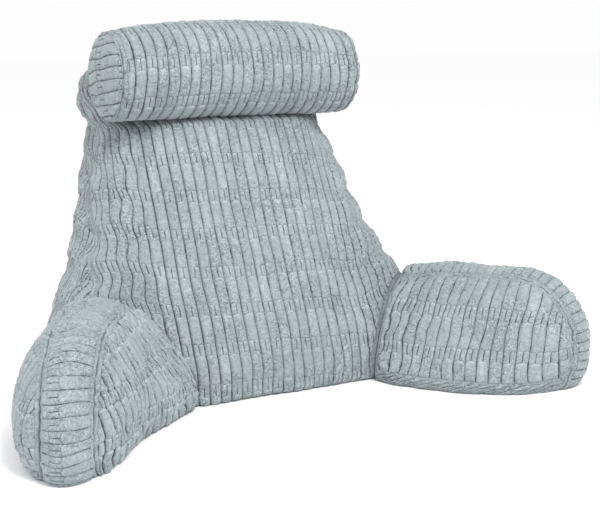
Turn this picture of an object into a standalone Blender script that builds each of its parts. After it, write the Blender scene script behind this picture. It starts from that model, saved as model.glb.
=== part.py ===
"""A reading pillow with arms, in wide ribbed plush.

Four stuffed pieces: a tapering back cushion that leans back, an arm sewn to
each of its front corners and splayed outwards, and a round neck roll that lies
along the top.  The pillow stands on the floor at z = 0, faces -Y, and its
origin is the middle of its footprint.  All sizes are in metres.
"""
import math

import bpy
import numpy as np
from mathutils import Matrix

# The cloth: wales of cut plush, and rows of pile blocks along each wale.
SEWN_GAP = 0.0003
WALE_PITCH = 0.020
WALE_HEIGHT = 0.0030
BLOCK_PITCH = 0.066
SHORT_ROW_HEIGHT = 0.45

# The back cushion, as rings that go up its front and its rear together.
BACK_COLUMNS = ("rise", "front_y", "front_z", "rear_y", "rear_z", "half_width", "squareness")
BACK_LEVELS = (
    (0.000, 0.006, 0.000, 0.340, 0.000, 0.365, 3.4),
    (0.066, 0.016, 0.066, 0.365, 0.066, 0.362, 3.4),
    (0.132, 0.046, 0.132, 0.388, 0.132, 0.340, 3.4),
    (0.198, 0.080, 0.198, 0.402, 0.198, 0.308, 3.2),
    (0.297, 0.125, 0.297, 0.427, 0.297, 0.266, 2.9),
    (0.380, 0.162, 0.380, 0.448, 0.380, 0.238, 2.8),
    (0.455, 0.200, 0.455, 0.462, 0.455, 0.220, 2.8),
)
BACK_SHOULDER_RISE = 0.455
BACK_TOP_SEAM = (0.330, 0.578)
BACK_TOP_STEPS = 8
BACK_EAR_WIDTH = 0.243
BACK_SEAM_WIDTH = 0.190
BACK_FRONT_HALF = 0.200
BACK_SIDE_STEPS = 28
BACK_BASE_RADIUS = 0.014

# The arms.  Reach runs along the inner seam, offset runs outwards from it.
ARM_ROOT = (0.257, 0.076)
ARM_SPLAY = math.radians(31.1)
ARM_LENGTHS = {"arm_left": 0.368, "arm_right": 0.348}
ARM_TOE_CROWNS = {"arm_left": 0.028, "arm_right": 0.014}
ARM_TOE_SLANTS = {"arm_left": 0.30, "arm_right": 0.0}
ARM_HEIGHT = 0.194
ARM_ROOT_SLANT = -0.16
ARM_NOSE_START = 0.230
ARM_NOSE_DROP = 0.118
ARM_FOOT_TUCK = 0.026
ARM_FOOT_SETBACK = 0.045
ARM_FOOT_FULLNESS = 0.05
ARM_CROWN = 0.010
ARM_COLUMNS = ("reach", "top_in", "top_out", "floor_in", "floor_out", "bulge_in", "bulge_out", "height")
ARM_LEVELS = {
    "arm_left": (
        (0.000, 0.000, 0.098, -0.095, 0.122, 0.042, 0.032, 0.180),
        (0.080, 0.000, 0.096, -0.068, 0.110, 0.040, 0.038, 0.190),
        (0.160, 0.000, 0.090, -0.042, 0.102, 0.036, 0.050, 0.193),
        (0.240, 0.000, 0.082, -0.020, 0.094, 0.032, 0.058, 0.194),
        (0.300, 0.000, 0.076, -0.012, 0.086, 0.030, 0.056, 0.194),
        (0.370, 0.000, 0.072, -0.006, 0.074, 0.026, 0.044, 0.194),
    ),
    "arm_right": (
        (0.000, 0.000, 0.100, -0.102, 0.125, 0.042, 0.036, 0.176),
        (0.080, 0.000, 0.098, -0.108, 0.112, 0.040, 0.046, 0.186),
        (0.160, 0.000, 0.091, -0.104, 0.100, 0.038, 0.052, 0.189),
        (0.240, 0.000, 0.082, -0.088, 0.092, 0.036, 0.054, 0.192),
        (0.300, 0.000, 0.076, -0.062, 0.084, 0.030, 0.048, 0.194),
        (0.370, 0.000, 0.072, -0.014, 0.076, 0.014, 0.030, 0.194),
    ),
}
ARM_BULGE_DROP = 1.3
ARM_ROOT_INSET = 0.06
STRIP_STEPS = 4
PANEL_STEPS = 7

# The neck roll, and the hollow in the top of the back that it lies in.
ROLL_HALF_LENGTH = 0.2285
ROLL_END_RADIUS = 0.0755
ROLL_SWELL = 0.010
ROLL_ARCH = 0.009
ROLL_SHIFT = -0.004
ROLL_CENTRE = (0.230, 0.542)
ROLL_CAP_DOME = 0.022
ROLL_CAP_STEPS = 4
ROLL_SIDES = 20
ROLL_RIB_HEIGHT = 0.0015
ROLL_SEAT_CLEARANCE = 0.0016
ROLL_SEAT_RADIUS = ROLL_END_RADIUS + ROLL_SWELL + ROLL_RIB_HEIGHT + ROLL_SEAT_CLEARANCE
ROLL_SEAT_HEIGHT = ROLL_CENTRE[1] + ROLL_ARCH
ROLL_SEAT_START = math.radians(-98)
ROLL_SEAT_END = math.radians(14)

# Plush colour, linear RGB.
PLUSH_COLOUR = (0.40, 0.47, 0.49, 1.0)


def smooth_table(rows, names):
    """Return a function that reads every column of a table along its first one."""
    data = np.array(rows)
    keys = data[:, 0]
    slopes = np.gradient(data, keys, axis=0)

    def read(at):
        at = np.clip(np.asarray(at, float), keys[0], keys[-1])
        low = np.clip(np.searchsorted(keys, at) - 1, 0, len(keys) - 2)
        span = keys[low + 1] - keys[low]
        t = ((at - keys[low]) / span)[..., None]
        span = span[..., None]
        value = ((1 + 2 * t) * (1 - t) ** 2 * data[low]
                 + t * (1 - t) ** 2 * span * slopes[low]
                 + t * t * (3 - 2 * t) * data[low + 1]
                 + t * t * (t - 1) * span * slopes[low + 1])
        return {name: value[..., i] for i, name in enumerate(names)}

    return read


def ease(value):
    """Smooth step from 0 to 1."""
    value = np.clip(value, 0.0, 1.0)
    return value * value * (3 - 2 * value)


def block_strength(along):
    """Rib height along a wale: full on the long blocks, lower on the short rows."""
    wave = 0.5 + 0.5 * np.cos(2 * math.pi * along / BLOCK_PITCH)
    return SHORT_ROW_HEIGHT + (1 - SHORT_ROW_HEIGHT) * wave


def arm_axes(side):
    """Unit vectors of one arm in plan: along its inner seam, and outwards."""
    along = np.array([side * math.sin(ARM_SPLAY), -math.cos(ARM_SPLAY)])
    outward = np.array([side * math.cos(ARM_SPLAY), math.sin(ARM_SPLAY)])
    return along, outward


def sewn_plane(side):
    """A point and the outward normal, in plan, of the face an arm is sewn to."""
    along, outward = arm_axes(side)
    point = np.array([side * ARM_ROOT[0], ARM_ROOT[1]])
    normal = along - ARM_ROOT_SLANT * outward
    return point, normal / np.linalg.norm(normal)


def add_cushion(name, points, faces, colour=PLUSH_COLOUR):
    """Make one closed cushion object in plush."""
    mesh = bpy.data.meshes.new(name)
    mesh.from_pydata([tuple(p) for p in points], [], faces)
    mesh.validate()
    mesh.shade_smooth()
    plush = bpy.data.materials.new(name + "_plush")
    plush.use_nodes = True
    shader = plush.node_tree.nodes["Principled BSDF"]
    shader.inputs["Base Color"].default_value = colour
    shader.inputs["Roughness"].default_value = 0.9
    shader.inputs["Metallic"].default_value = 0.0
    mesh.materials.append(plush)
    cushion = bpy.data.objects.new(name, mesh)
    bpy.context.collection.objects.link(cushion)
    return cushion


def grid_faces(rows, columns):
    """Quads of a stack of closed rings, counted ring by ring."""
    faces = []
    for r in range(rows - 1):
        for c in range(columns):
            d = (c + 1) % columns
            faces.append((r * columns + c, r * columns + d, (r + 1) * columns + d, (r + 1) * columns + c))
    return faces


def close_flat(points, faces, ring, inward=False):
    """Close a flat ring of vertices with a fan about its own middle."""
    middle = len(points)
    points.append(np.mean([points[i] for i in ring], axis=0))
    for here, there in zip(ring, ring[1:] + ring[:1]):
        faces.append((middle, there, here) if inward else (middle, here, there))


def back_rings():
    """The rings of the back cushion, from its base up to its top seam."""
    read = smooth_table(BACK_LEVELS, BACK_COLUMNS)
    half_block = BACK_SHOULDER_RISE / round(BACK_SHOULDER_RISE / (BLOCK_PITCH / 2))
    rises = [0.0, BACK_BASE_RADIUS]
    rises += list(np.arange(half_block, BACK_SHOULDER_RISE + half_block / 2, half_block))
    rings = []
    for rise in rises:
        ring = {name: float(value) for name, value in read(rise).items()}
        ring["rib"] = 1.0 if rise > BACK_BASE_RADIUS else 0.0
        rings.append(ring)
    shoulder = rings[-1]
    for step in range(1, BACK_TOP_STEPS + 1):
        part = step / BACK_TOP_STEPS
        seat = ROLL_SEAT_START + (ROLL_SEAT_END - ROLL_SEAT_START) * part
        turn = math.pi / 2 * part
        ear = math.sin(math.pi * min(part * 0.5 / 0.6, 1.0))
        plain = shoulder["half_width"] + (BACK_SEAM_WIDTH - shoulder["half_width"]) * part ** 3
        rings.append({
            "rise": shoulder["rise"] + 0.02 * step,
            "front_y": ROLL_CENTRE[0] + ROLL_SEAT_RADIUS * math.cos(seat),
            "front_z": ROLL_SEAT_HEIGHT + ROLL_SEAT_RADIUS * math.sin(seat),
            "rear_y": BACK_TOP_SEAM[0] + (shoulder["rear_y"] - BACK_TOP_SEAM[0]) * math.cos(turn),
            "rear_z": shoulder["rear_z"] + (BACK_TOP_SEAM[1] - shoulder["rear_z"]) * math.sin(turn),
            "half_width": plain + (BACK_EAR_WIDTH - shoulder["half_width"]) * ear,
            "squareness": shoulder["squareness"] - 0.5 * part,
            "rib": 1.0 - part,
        })
    return rings


def ring_outline(ring, samples=1441):
    """Dense points of one back ring, from the middle of its front, with their arc lengths."""
    angle = np.linspace(-math.pi / 2, 3 * math.pi / 2, samples)
    power = 2.0 / ring["squareness"]
    c = np.cos(angle)
    s = np.sin(angle)
    half_depth = (ring["rear_y"] - ring["front_y"]) / 2
    x = ring["half_width"] * np.sign(c) * np.abs(c) ** power
    deep = (1 + np.sign(s) * np.abs(s) ** power) / 2
    y = ring["front_y"] + 2 * half_depth * deep
    z = ring["front_z"] + (ring["rear_z"] - ring["front_z"]) * deep
    points = np.stack([x, y, z], axis=1)
    steps = np.linalg.norm(np.diff(points, axis=0), axis=1)
    return points, np.concatenate([[0.0], np.cumsum(steps)])


def column_arcs(length):
    """Arc positions of the columns of a back ring: even over front and rear, spread at the sides."""
    half = length / 2
    plain = min(BACK_FRONT_HALF, 0.46 * half)
    plain_steps = round(2 * BACK_FRONT_HALF / WALE_PITCH)
    front = np.linspace(0.0, plain, plain_steps + 1)
    sides = np.linspace(plain, half - plain, BACK_SIDE_STEPS + 1)[1:-1]
    right = np.concatenate([front, sides, half - front[::-1]])
    return np.concatenate([right, length - right[-2:0:-1]])


def grid_normals(grid):
    """Outward unit normals of a grid of closed rings."""
    around = np.roll(grid, -1, axis=1) - np.roll(grid, 1, axis=1)
    up = np.gradient(grid, axis=0)
    normal = np.cross(around, up)
    return normal / np.maximum(np.linalg.norm(normal, axis=2, keepdims=True), 1e-9)


def make_back():
    """The back cushion: front and rear panels over a deep stuffed wedge."""
    rings = back_rings()
    grid = []
    for ring in rings:
        outline, arcs = ring_outline(ring)
        at = column_arcs(arcs[-1])
        grid.append(np.stack([np.interp(at, arcs, outline[:, i]) for i in range(3)], axis=1))
    grid = np.array(grid)
    grid[0, :, 0] *= 1 - BACK_BASE_RADIUS / rings[0]["half_width"]
    grid[0, :, 1] += (rings[0]["rear_y"] / 2 - grid[0, :, 1]) * BACK_BASE_RADIUS / (rings[0]["rear_y"] / 2)
    free = np.ones(grid.shape[:2])
    for side in (-1, 1):
        point, normal = sewn_plane(side)
        beyond = (grid[..., :2] - point) @ normal
        beyond -= np.maximum(grid[..., 2] - ARM_HEIGHT, 0.0)
        free *= ease(-beyond / 0.02)
        grid[..., :2] -= np.maximum(beyond, 0.0)[..., None] * normal
    ribs = np.where(np.arange(grid.shape[1]) % 2 == 0, 0.5, -0.5) * WALE_HEIGHT
    fall = np.array([ring["rib"] * block_strength(ring["rise"]) for ring in rings])
    grid += grid_normals(grid) * (ribs[None, :] * fall[:, None] * free)[..., None]
    rows, columns = grid.shape[:2]
    points = list(grid.reshape(-1, 3))
    faces = grid_faces(rows, columns)
    close_flat(points, faces, list(range(columns)), inward=True)
    top = (rows - 1) * columns
    half = columns // 2
    for c in range(half // 2):
        right = (c, c + 1, half - c - 1, half - c)
        left = (half + c, half + c + 1, columns - c - 1, (columns - c) % columns)
        for corners in (right, left):
            faces.append(tuple(dict.fromkeys(top + corner for corner in corners)))
    return add_cushion("back_cushion", points, faces)


def arm_path(length):
    """The top seam's path over an arm: along the top, round the nose and down to its foot."""
    nose_low = ARM_HEIGHT - ARM_NOSE_DROP
    flat = [(reach, ARM_HEIGHT) for reach in np.linspace(0.0, ARM_NOSE_START, 20)]
    turn = np.linspace(0.0, math.pi / 2, 40)
    nose = [(ARM_NOSE_START + (length - ARM_NOSE_START) * math.sin(t),
             nose_low + ARM_NOSE_DROP * math.cos(t)) for t in turn]
    foot = [(length - ARM_FOOT_TUCK * (1 - math.cos(t)), nose_low * (1 - math.sin(t))) for t in turn]
    path = np.array(flat + nose[1:] + foot[1:])
    steps = np.linalg.norm(np.diff(path, axis=0), axis=1)
    return path, np.concatenate([[0.0], np.cumsum(steps)])


def arm_ring(top, low, reach, floor_reach, full, crown_height):
    """One ring of an arm: top strip outwards, outer panel down, underside, inner panel up."""
    strip = np.arange(STRIP_STEPS) / STRIP_STEPS
    down = np.arange(PANEL_STEPS) / PANEL_STEPS
    crown = crown_height * (1 - (2 * strip - 1) ** 2)
    nose = np.array([max(reach - ARM_NOSE_START, 0.0), max(top["height"] - ARM_HEIGHT + ARM_NOSE_DROP, 0.0)])
    nose = nose / max(np.linalg.norm(nose), 1e-9)
    over = np.stack([reach + crown * nose[0],
                     top["top_in"] + (top["top_out"] - top["top_in"]) * strip,
                     top["height"] + crown * nose[1]], axis=1)
    under = np.stack([np.full(STRIP_STEPS, floor_reach),
                      low["floor_out"] + (low["floor_in"] - low["floor_out"]) * strip,
                      np.zeros(STRIP_STEPS)], axis=1)

    def panel(part, edge, way):
        fall = ease(part)
        swell = np.sin(math.pi * part ** ARM_BULGE_DROP)
        return np.stack([reach + (floor_reach - reach) * fall,
                         top["top_" + edge] + (low["floor_" + edge] - top["top_" + edge]) * fall
                         + way * low["bulge_" + edge] * full * swell,
                         top["height"] * (1 + np.cos(math.pi * part)) / 2], axis=1)

    return np.concatenate([over, panel(down, "out", 1), under, panel(1 - down, "in", -1)])


def make_arm(name, side):
    """One arm: a strip over its top, nose and underside between two side panels."""
    read = smooth_table(ARM_LEVELS[name], ARM_COLUMNS)
    length = ARM_LENGTHS[name]
    path, arcs = arm_path(length)
    count = round(arcs[-1] / (WALE_PITCH / 2))
    count += count % 2
    at = np.linspace(0.0, arcs[-1], count + 1)
    reach = np.interp(at, arcs, path[:, 0])
    drop = np.interp(at, arcs, path[:, 1]) / ARM_HEIGHT
    even = ARM_NOSE_START * 0.8
    late = np.clip((at - even) / (arcs[-1] - even), 0.0, 1.0)
    floor_reach = np.minimum(at, even) + (length - ARM_FOOT_SETBACK - even) * late
    floor_scale = length / floor_reach[-1]
    local = []
    for k in range(count + 1):
        top = {key: float(value) for key, value in read(reach[k]).items()}
        low = {key: float(value) for key, value in read(floor_reach[k] * floor_scale).items()}
        top["height"] *= drop[k]
        full = max(drop[k], ARM_FOOT_FULLNESS) ** 0.35
        crown_height = ARM_CROWN + (ARM_TOE_CROWNS[name] - ARM_CROWN) * ease(late[k] * 1.4)
        local.append(arm_ring(top, low, reach[k], floor_reach[k], full, crown_height))
    local = np.array(local)
    toward_toe = local[..., 0] / length
    slant = ARM_ROOT_SLANT * (1 - toward_toe) + ARM_TOE_SLANTS[name] * toward_toe ** 3
    local[..., 0] += slant * local[..., 1]
    along, outward = arm_axes(side)
    grid = np.zeros_like(local)
    grid[..., :2] = np.array(ARM_ROOT) * (side, 1) + local[..., :1] * along + local[..., 1:2] * outward
    grid[..., 2] = local[..., 2]
    point, normal = sewn_plane(side)
    root = grid[0] + (grid[0].mean(axis=0) - grid[0]) * ARM_ROOT_INSET
    root[:, 2] = grid[0, :, 2] * (1 - ARM_ROOT_INSET)
    root[:, :2] += (SEWN_GAP - (root[:, :2] - point) @ normal)[:, None] * normal
    grid[0, :, :2] += (WALE_PITCH / 4 - (grid[0, :, :2] - point) @ normal)[:, None] * normal
    ribs = np.where(np.arange(count + 1) % 2 == 0, -0.5, 0.5) * WALE_HEIGHT
    lift = ribs[:, None] * ease(grid[..., 2] / 0.02) * ease(drop / 0.2)[:, None]
    grid -= side * grid_normals(grid) * lift[..., None]
    grid[..., 2] = np.maximum(grid[..., 2], 0.0)
    grid = np.concatenate([root[None], grid])
    rows, columns = grid.shape[:2]
    points = list(grid.reshape(-1, 3))
    faces = grid_faces(rows, columns)
    close_flat(points, faces, list(range(columns)), inward=True)
    close_flat(points, faces, [(rows - 1) * columns + c for c in range(columns)])
    if side > 0:
        faces = [tuple(reversed(face)) for face in faces]
    return add_cushion(name, points, faces)


def make_roll():
    """The neck roll: a tube whose wales run round it, closed by two domed end caps."""
    count = round(2 * ROLL_HALF_LENGTH / (WALE_PITCH / 2))
    count += count % 2
    rings = []
    for step in range(ROLL_CAP_STEPS):
        turn = math.pi / 2 * (step + 1) / (ROLL_CAP_STEPS + 1)
        rings.append((-ROLL_HALF_LENGTH - ROLL_CAP_DOME * math.cos(turn), ROLL_END_RADIUS * math.sin(turn)))
    for k in range(count + 1):
        along = -1 + 2 * k / count
        swell = ROLL_SWELL * (1 - along ** 4)
        rib = ROLL_RIB_HEIGHT * (1 if k % 2 else -1)
        if k in (0, count):
            rib = 0.0
        rings.append((along * ROLL_HALF_LENGTH, ROLL_END_RADIUS + swell + rib))
    rings += [(-x, radius) for x, radius in rings[ROLL_CAP_STEPS - 1::-1]]
    angles = 2 * math.pi * np.arange(ROLL_SIDES) / ROLL_SIDES
    points = []
    for x, radius in rings:
        middle = ROLL_CENTRE[1] + ROLL_ARCH * max(1 - (x / ROLL_HALF_LENGTH) ** 2, 0.0)
        points += [(x + ROLL_SHIFT, ROLL_CENTRE[0] + radius * math.cos(a), middle + radius * math.sin(a)) for a in angles]
    faces = grid_faces(len(rings), ROLL_SIDES)
    start = len(points)
    points.append((ROLL_SHIFT - ROLL_HALF_LENGTH - ROLL_CAP_DOME, *ROLL_CENTRE))
    points.append((ROLL_SHIFT + ROLL_HALF_LENGTH + ROLL_CAP_DOME, *ROLL_CENTRE))
    last = (len(rings) - 1) * ROLL_SIDES
    for c in range(ROLL_SIDES):
        d = (c + 1) % ROLL_SIDES
        faces.append((start, d, c))
        faces.append((start + 1, last + c, last + d))
    return add_cushion("neck_roll", points, faces)


def centre_on_footprint(cushions):
    """Move every cushion so that the origin is the middle of the pillow's footprint."""
    corners = np.array([vertex.co[:] for cushion in cushions for vertex in cushion.data.vertices])
    middle = (corners.min(axis=0) + corners.max(axis=0)) / 2
    for cushion in cushions:
        cushion.data.transform(Matrix.Translation((-middle[0], -middle[1], 0.0)))


for old in list(bpy.data.objects):
    bpy.data.objects.remove(old)
centre_on_footprint([
    make_back(),
    make_arm("arm_left", -1),
    make_arm("arm_right", 1),
    make_roll(),
])
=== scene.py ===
import math

import bpy
import numpy as np
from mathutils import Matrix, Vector


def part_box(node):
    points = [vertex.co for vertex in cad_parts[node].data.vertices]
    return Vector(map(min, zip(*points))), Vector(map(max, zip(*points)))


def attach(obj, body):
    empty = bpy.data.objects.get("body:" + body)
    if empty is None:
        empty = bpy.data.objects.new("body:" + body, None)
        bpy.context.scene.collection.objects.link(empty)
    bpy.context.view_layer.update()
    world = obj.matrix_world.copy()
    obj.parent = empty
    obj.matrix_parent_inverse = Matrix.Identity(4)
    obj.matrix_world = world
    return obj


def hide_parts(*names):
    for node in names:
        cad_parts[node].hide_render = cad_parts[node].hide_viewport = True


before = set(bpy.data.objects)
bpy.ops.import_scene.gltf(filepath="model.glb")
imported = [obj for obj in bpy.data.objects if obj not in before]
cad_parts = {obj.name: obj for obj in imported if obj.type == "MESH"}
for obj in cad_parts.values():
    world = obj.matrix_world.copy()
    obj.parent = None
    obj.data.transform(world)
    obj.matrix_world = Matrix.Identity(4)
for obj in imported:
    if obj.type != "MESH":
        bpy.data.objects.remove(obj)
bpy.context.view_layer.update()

# ---------------------------------------------------------------- back cushion
# One stuffed bag that leans back: a front and a rear panel of wide-rib cut plush, a gathered
# triangular gusset sewn between them in each side, and loose fibre filling.  Its top front is
# hollowed where the neck roll lies, and its front corners are flat where the arms are sewn on.

# The cut: a base, a lean up to the shoulder, and over the roll's hollow to the top seam.
ROLL_MIDDLE = (-0.004, 0.230, 0.542)
SHOULDER = 0.455
TOP_PATH = 0.190
FIRST_TOP_PART = 0.125
TOP_SEAM = (0.330, 0.578)
TOP_ROUNDING = 0.5
EAR_WIDTH = 0.243
EAR_PART = 0.6
SEAM_WIDTH = 0.190
FRONT_HALF = 0.200
FRONT_SHARE = 0.46
BASE_RADIUS = 0.014
SEAT_RADIUS = 0.0886
SEAT_HEIGHT = 0.551
SEAT_TURN = (math.radians(-98), math.radians(14))
CUT_EASE = 0.011
CUT_EASE_LEVEL = 0.37
CUT_EASE_SPREAD = 0.10
GUSSET_TOP = 0.44
GUSSET_CURVE = 2.5
GUSSET_CORNER = (0.93, 0.01)
GUSSET_WANDER = (0.010, 0.09, 1.0)
BACK_NAMES = ("rise", "front_y", "front_z", "rear_y", "rear_z", "half_width", "squareness")
BACK_SHAPE = (
    (0.000, 0.006, 0.000, 0.340, 0.000, 0.365, 3.4),
    (0.066, 0.016, 0.066, 0.365, 0.066, 0.362, 3.4),
    (0.132, 0.046, 0.132, 0.388, 0.132, 0.340, 3.4),
    (0.198, 0.080, 0.198, 0.402, 0.198, 0.308, 3.2),
    (0.297, 0.125, 0.297, 0.427, 0.297, 0.266, 2.9),
    (0.380, 0.162, 0.380, 0.448, 0.380, 0.238, 2.8),
    (0.455, 0.200, 0.455, 0.462, 0.455, 0.220, 2.8),
)

# Where the arms are sewn on: the root's place, and the arm's turn in plan.
ARM_ROOT = (0.257, 0.076)
ARM_SPLAY = math.radians(31.1)
ARM_ROOT_SLANT = -0.16
ARM_HEIGHT = 0.194
SEWN_GAP = 0.0003

# The ribs, called wales, and the rows of pile blocks along them.
WALE_PITCH = 0.020
GUSSET_PITCH = 0.015
ROW_PITCH = 0.068
SHORT_ROW = 0.285
FIRST_ROW = 0.0765
ROW_LIFT = 0.125
ROW_TILT = 0.0157
TILTED_WALES = 14
FRONT_WALES = 10
SIDE_WALES = 28
HALF_WALES = 2 * FRONT_WALES + SIDE_WALES
ALL_WALES = 2 * HALF_WALES
REAR_SEAM_WALE = FRONT_WALES + 20.0
REAR_WALES = 200
GUSSET_WALES = 400
WALE_SAMPLES = (-0.5, -0.455, -0.30, -0.09, 0.09, 0.30, 0.455)
BACK_ROW_STEP = 0.0051
BACK_BASE_STEPS = (0.0, 0.08, 0.25, 0.5, 0.75)
WALE_WANDER = (0.035, 6.0, 0.16)
SIDE_SWAY = (0.22, 0.10, 0.11)
GUSSET_SWAY = (0.5, 0.10, 0.12)
ROW_WANDER = (0.035, 22.0, 0.4)
GUSSET_ROW_WANDER = (0.2, 0.2, 0.2)
WALE_SHIFT = (0.018, 97)
# Gathers and beads toward the gussets, on the left and on the right.
EDGE_GATHER = (0.15, 0.50)
EDGE_BEADS = (0.35, 1.0)
EDGE_START = 0.12
EDGE_WIDTH = 0.11
GUSSET_GATHER = 0.7
GUSSET_BEADS = 0.2
SEWN_GATHER = 0.7
SCALLOP = 0.0030
SCALLOP_START = 0.63

# The filling: how the cover is blown up, and how far it may move.
COVER_SLACK = 0.0015
FILL_STEPS = 20
COARSE_STEP = 0.018
BACK_BULGE = 0.010
HELD_EDGE = 0.004

roll_low, roll_high = (np.array(corner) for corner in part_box("neck_roll"))
PILLOW_MIDDLE = np.array(ROLL_MIDDLE) - (roll_low + roll_high) / 2
PILLOW_MIDDLE[2] = 0.0


def read_shape(rows, names, at):
    """Every column of a shape table, read smoothly at one place along its first column."""
    data = np.array(rows)
    keys = data[:, 0]
    slopes = np.gradient(data, keys, axis=0)
    at = min(max(at, keys[0]), keys[-1])
    low = min(max(int(np.searchsorted(keys, at)) - 1, 0), len(keys) - 2)
    span = keys[low + 1] - keys[low]
    t = (at - keys[low]) / span
    value = ((1 + 2 * t) * (1 - t) ** 2 * data[low] + t * (1 - t) ** 2 * span * slopes[low]
             + t * t * (3 - 2 * t) * data[low + 1] + t * t * (t - 1) * span * slopes[low + 1])
    return dict(zip(names, value))


def ease(value):
    """Smooth step from 0 to 1."""
    value = np.clip(value, 0.0, 1.0)
    return value * value * (3 - 2 * value)


def wander(a, b, sizes, seed):
    """Smooth hand-made unevenness over two directions, the same for each seed.  The sizes are
    about how much it is and how far its waves run in each direction."""
    amount, a_size, b_size = sizes
    draw = np.random.default_rng(seed)
    total = 0.0
    for _ in range(7):
        turns = draw.uniform(0.35, 1.5, 2) * draw.choice([-1.0, 1.0], 2)
        wave = turns[0] * (a / a_size) + turns[1] * (b / b_size) + draw.uniform()
        total = total + np.sin(2 * math.pi * wave)
    return amount * (total * 0.3)


def wale_shifts(wale, most, count, seed):
    """How much higher or lower the rows lie on each wale, at random, over so many wales."""
    shifts = np.random.default_rng(seed).uniform(-most, most, count)
    return shifts[np.round(wale).astype(int) % count]


def run_lengths(points):
    """How far each point lies along its own line of points."""
    steps = np.linalg.norm(np.diff(points, axis=0), axis=-1)
    return np.concatenate([np.zeros_like(steps[:1]), np.cumsum(steps, axis=0)])


def arm_ways(side):
    """The two ways of an arm in plan: along it to its toe, and out across it."""
    return (np.array([side * math.sin(ARM_SPLAY), -math.cos(ARM_SPLAY)]),
            np.array([side * math.cos(ARM_SPLAY), math.sin(ARM_SPLAY)]))


def past_sewn_face(points, side):
    """How far points lie past the face that an arm is sewn to, in plan, and that face's normal."""
    along, outward = arm_ways(side)
    normal = along - ARM_ROOT_SLANT * outward
    normal = normal / np.linalg.norm(normal)
    return (points[..., :2] - np.array([side * ARM_ROOT[0], ARM_ROOT[1]])) @ normal, normal


def flatten_corner(points, side):
    """Press points of the back in to the face that an arm is sewn to, which leans away above
    the arm, and return how far past it they were."""
    past, normal = past_sewn_face(points, side)
    past = past - np.maximum(points[..., 2] - ARM_HEIGHT, 0.0)
    points[..., :2] -= np.maximum(past, 0.0)[..., None] * normal
    return past


def back_ring(level):
    """The cushion's section at one level: up the lean, then over the roll's hollow to the top seam."""
    if level <= SHOULDER:
        return read_shape(BACK_SHAPE, BACK_NAMES, level)
    shoulder = read_shape(BACK_SHAPE, BACK_NAMES, SHOULDER)
    part = (level - SHOULDER) / TOP_PATH
    begun = max(part, FIRST_TOP_PART)
    seat = SEAT_TURN[0] + (SEAT_TURN[1] - SEAT_TURN[0]) * begun
    front = np.array([ROLL_MIDDLE[1] + SEAT_RADIUS * math.cos(seat),
                      SEAT_HEIGHT + SEAT_RADIUS * math.sin(seat)])
    start = np.array([shoulder["front_y"], shoulder["front_z"]])
    front = start + (front - start) * min(part / FIRST_TOP_PART, 1.0)
    turn = math.pi / 2 * part
    ear = math.sin(math.pi * min(part / (2 * EAR_PART), 1.0))
    plain = shoulder["half_width"] + (SEAM_WIDTH - shoulder["half_width"]) * part ** 3
    return {
        "front_y": front[0],
        "front_z": front[1],
        "rear_y": TOP_SEAM[0] + (shoulder["rear_y"] - TOP_SEAM[0]) * math.cos(turn),
        "rear_z": shoulder["rear_z"] + (TOP_SEAM[1] - shoulder["rear_z"]) * math.sin(turn),
        "half_width": plain + (EAR_WIDTH - shoulder["half_width"]) * ear,
        "squareness": shoulder["squareness"] - TOP_ROUNDING * part,
    }


def ring_outline(ring, samples=1441):
    """Dense points round one section from the middle of its front, with their arc lengths."""
    angle = np.linspace(-math.pi / 2, 3 * math.pi / 2, samples)
    power = 2.0 / ring["squareness"]
    x = ring["half_width"] * np.sign(np.cos(angle)) * np.abs(np.cos(angle)) ** power
    deep = (1 + np.sign(np.sin(angle)) * np.abs(np.sin(angle)) ** power) / 2
    y = ring["front_y"] + (ring["rear_y"] - ring["front_y"]) * deep
    z = ring["front_z"] + (ring["rear_z"] - ring["front_z"]) * deep
    points = np.stack([x, y, z], axis=1)
    return points, run_lengths(points)


def wale_arc(wale, length):
    """How far round a section a wale lies: evenly over front and rear, gathered at the sides."""
    half = length / 2
    plain = min(FRONT_HALF, FRONT_SHARE * half)
    turned = wale > HALF_WALES
    wale = np.where(turned, ALL_WALES - wale, wale)
    arc = np.interp(wale, [-1, 0, FRONT_WALES, FRONT_WALES + SIDE_WALES, HALF_WALES],
                    [-plain / FRONT_WALES, 0.0, plain, half - plain, half])
    return np.where(turned, length - arc, arc)


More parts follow.
